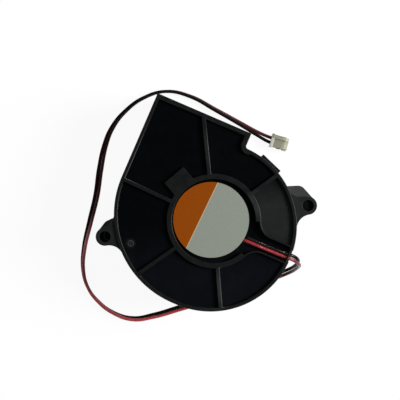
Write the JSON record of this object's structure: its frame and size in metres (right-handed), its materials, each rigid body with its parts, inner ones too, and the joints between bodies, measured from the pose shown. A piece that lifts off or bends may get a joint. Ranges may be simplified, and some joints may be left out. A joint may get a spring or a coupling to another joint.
{
  "type": "vacuum fan motor",
  "caption": "Radial blower with spiral housing, intake on one face and outlet on one side, driven by a brushless motor in its hub, with wires to a small plug.",
  "frame": {"origin": "on the rotor's axis, in the plane of the intake collar that the blower stands on", "axes": "+Z along the rotor's axis towards the motor side, +Y the way the air leaves the outlet"},
  "size_m": [0.0975, 0.1001, 0.03],
  "materials": {
    "housing_plastic": "black moulded plastic, satin with a fine texture",
    "cover_plastic": "black moulded plastic, satin with a fine texture",
    "wheel_plastic": "black moulded plastic, smooth satin",
    "label_film": "printed film, grey with an orange field",
    "brass": "turned brass",
    "bearing_steel": "ground bearing steel",
    "cage_brass": "pressed brass",
    "shaft_steel": "ground steel",
    "washer_plastic": "natural nylon",
    "yoke_steel": "zinc plated sheet steel",
    "ferrite": "bonded ferrite, dull",
    "lamination_steel": "electrical sheet steel",
    "insulator_plastic": "natural nylon",
    "enamelled_copper": "enamelled copper wire",
    "board_laminate": "glass laminate with green lacquer",
    "chip_plastic": "moulded epoxy",
    "capacitor_ceramic": "ceramic with tinned ends",
    "solder": "tin solder",
    "copper_strands": "bare copper strands",
    "red_insulation": "red wire insulation",
    "black_insulation": "black wire insulation",
    "nylon": "natural white nylon",
    "contact_metal": "tinned bronze sheet"
  },
  "bodies": {
    "housing": {"rear_housing": "housing_plastic", "front_cover": "cover_plastic", "label": "label_film", "bearing_tube": "brass", "rear_outer_race": "bearing_steel", "rear_shields": "bearing_steel", "front_outer_race": "bearing_steel", "front_shields": "bearing_steel", "stator_laminations": "lamination_steel", "rear_insulator": "insulator_plastic", "front_insulator": "insulator_plastic", "coils": "enamelled_copper", "circuit_board": "board_laminate", "winding_pins": "solder", "driver_chip": "chip_plastic", "hall_sensor": "chip_plastic", "chip_capacitors": "capacitor_ceramic", "chip_resistors": "chip_plastic", "solder_joints": "solder", "lead_ends": "copper_strands", "lead_red": "red_insulation", "lead_black": "black_insulation", "connector_housing": "nylon", "crimp_contacts": "contact_metal"},
    "rotor": {"impeller": "wheel_plastic", "hub_insert": "brass", "rotor_yoke": "yoke_steel", "magnet_ring": "ferrite", "shaft": "shaft_steel", "shaft_clip": "shaft_steel", "thrust_washer": "washer_plastic", "preload_spring": "shaft_steel", "rear_inner_race": "bearing_steel", "front_inner_race": "bearing_steel"},
    "rear_ball_set": {"rear_balls": "bearing_steel", "rear_cage": "cage_brass"},
    "front_ball_set": {"front_balls": "bearing_steel", "front_cage": "cage_brass"}
  },
  "joints": [
    {"name": "rotor_spin", "type": "hinge", "parent": "housing", "child": "rotor", "pos_m": [0, 0, 0.015], "axis": [0, 0, -1], "continuous": true},
    {"name": "rear_ball_spin", "type": "hinge", "parent": "housing", "child": "rear_ball_set", "pos_m": [0, 0, 0.0259], "axis": [0, 0, -1], "continuous": true},
    {"name": "front_ball_spin", "type": "hinge", "parent": "housing", "child": "front_ball_set", "pos_m": [0, 0, 0.0135], "axis": [0, 0, -1], "continuous": true}
  ],
  "couplings": [
    {"joint": "rear_ball_spin", "follows": "rotor_spin", "ratio": 0.39091},
    {"joint": "front_ball_spin", "follows": "rotor_spin", "ratio": 0.39091}
  ]
}
